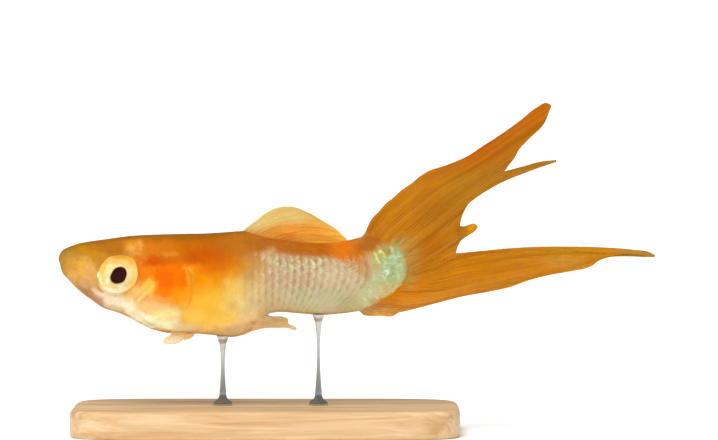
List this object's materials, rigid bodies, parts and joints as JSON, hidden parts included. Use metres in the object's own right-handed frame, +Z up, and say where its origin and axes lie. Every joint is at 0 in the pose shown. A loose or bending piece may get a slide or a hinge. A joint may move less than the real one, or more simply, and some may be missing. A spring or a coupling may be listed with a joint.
{
  "type": "guppy model",
  "caption": "Still, life-size model of a male guppy with a long forked swallow tail, held level over a flat base by two slim rods.",
  "frame": {"origin": "centre of the model's footprint at the level of the base's underside", "axes": "+Z up; the snout points to -X and the tail to +X; the fish's left side, which the picture shows, faces -Y"},
  "size_m": [0.0522, 0.018, 0.029],
  "materials": {
    "skin": "moist skin with small scales",
    "eye": "wet and glossy",
    "fin_membrane": "thin membrane over soft rays",
    "tail_membrane": "thin membrane over soft rays",
    "stand_wood": "pale maple, smooth, oiled",
    "stand_steel": "turned"
  },
  "bodies": {
    "root": {"head": "skin", "trunk": "skin", "tail_stalk": "skin", "gill_cover_left": "skin", "gill_cover_right": "skin", "eye_left": "eye", "eye_right": "eye", "dorsal_fin": "fin_membrane", "anal_fin": "fin_membrane", "pectoral_fin_left": "fin_membrane", "pectoral_fin_right": "fin_membrane", "pelvic_fin_left": "fin_membrane", "pelvic_fin_right": "fin_membrane", "caudal_fin_upper": "tail_membrane", "caudal_fin_middle": "tail_membrane", "caudal_fin_lower": "tail_membrane", "stand_base": "stand_wood", "stand_rod_front": "stand_steel", "stand_rod_rear": "stand_steel"}
  },
  "joints": []
}
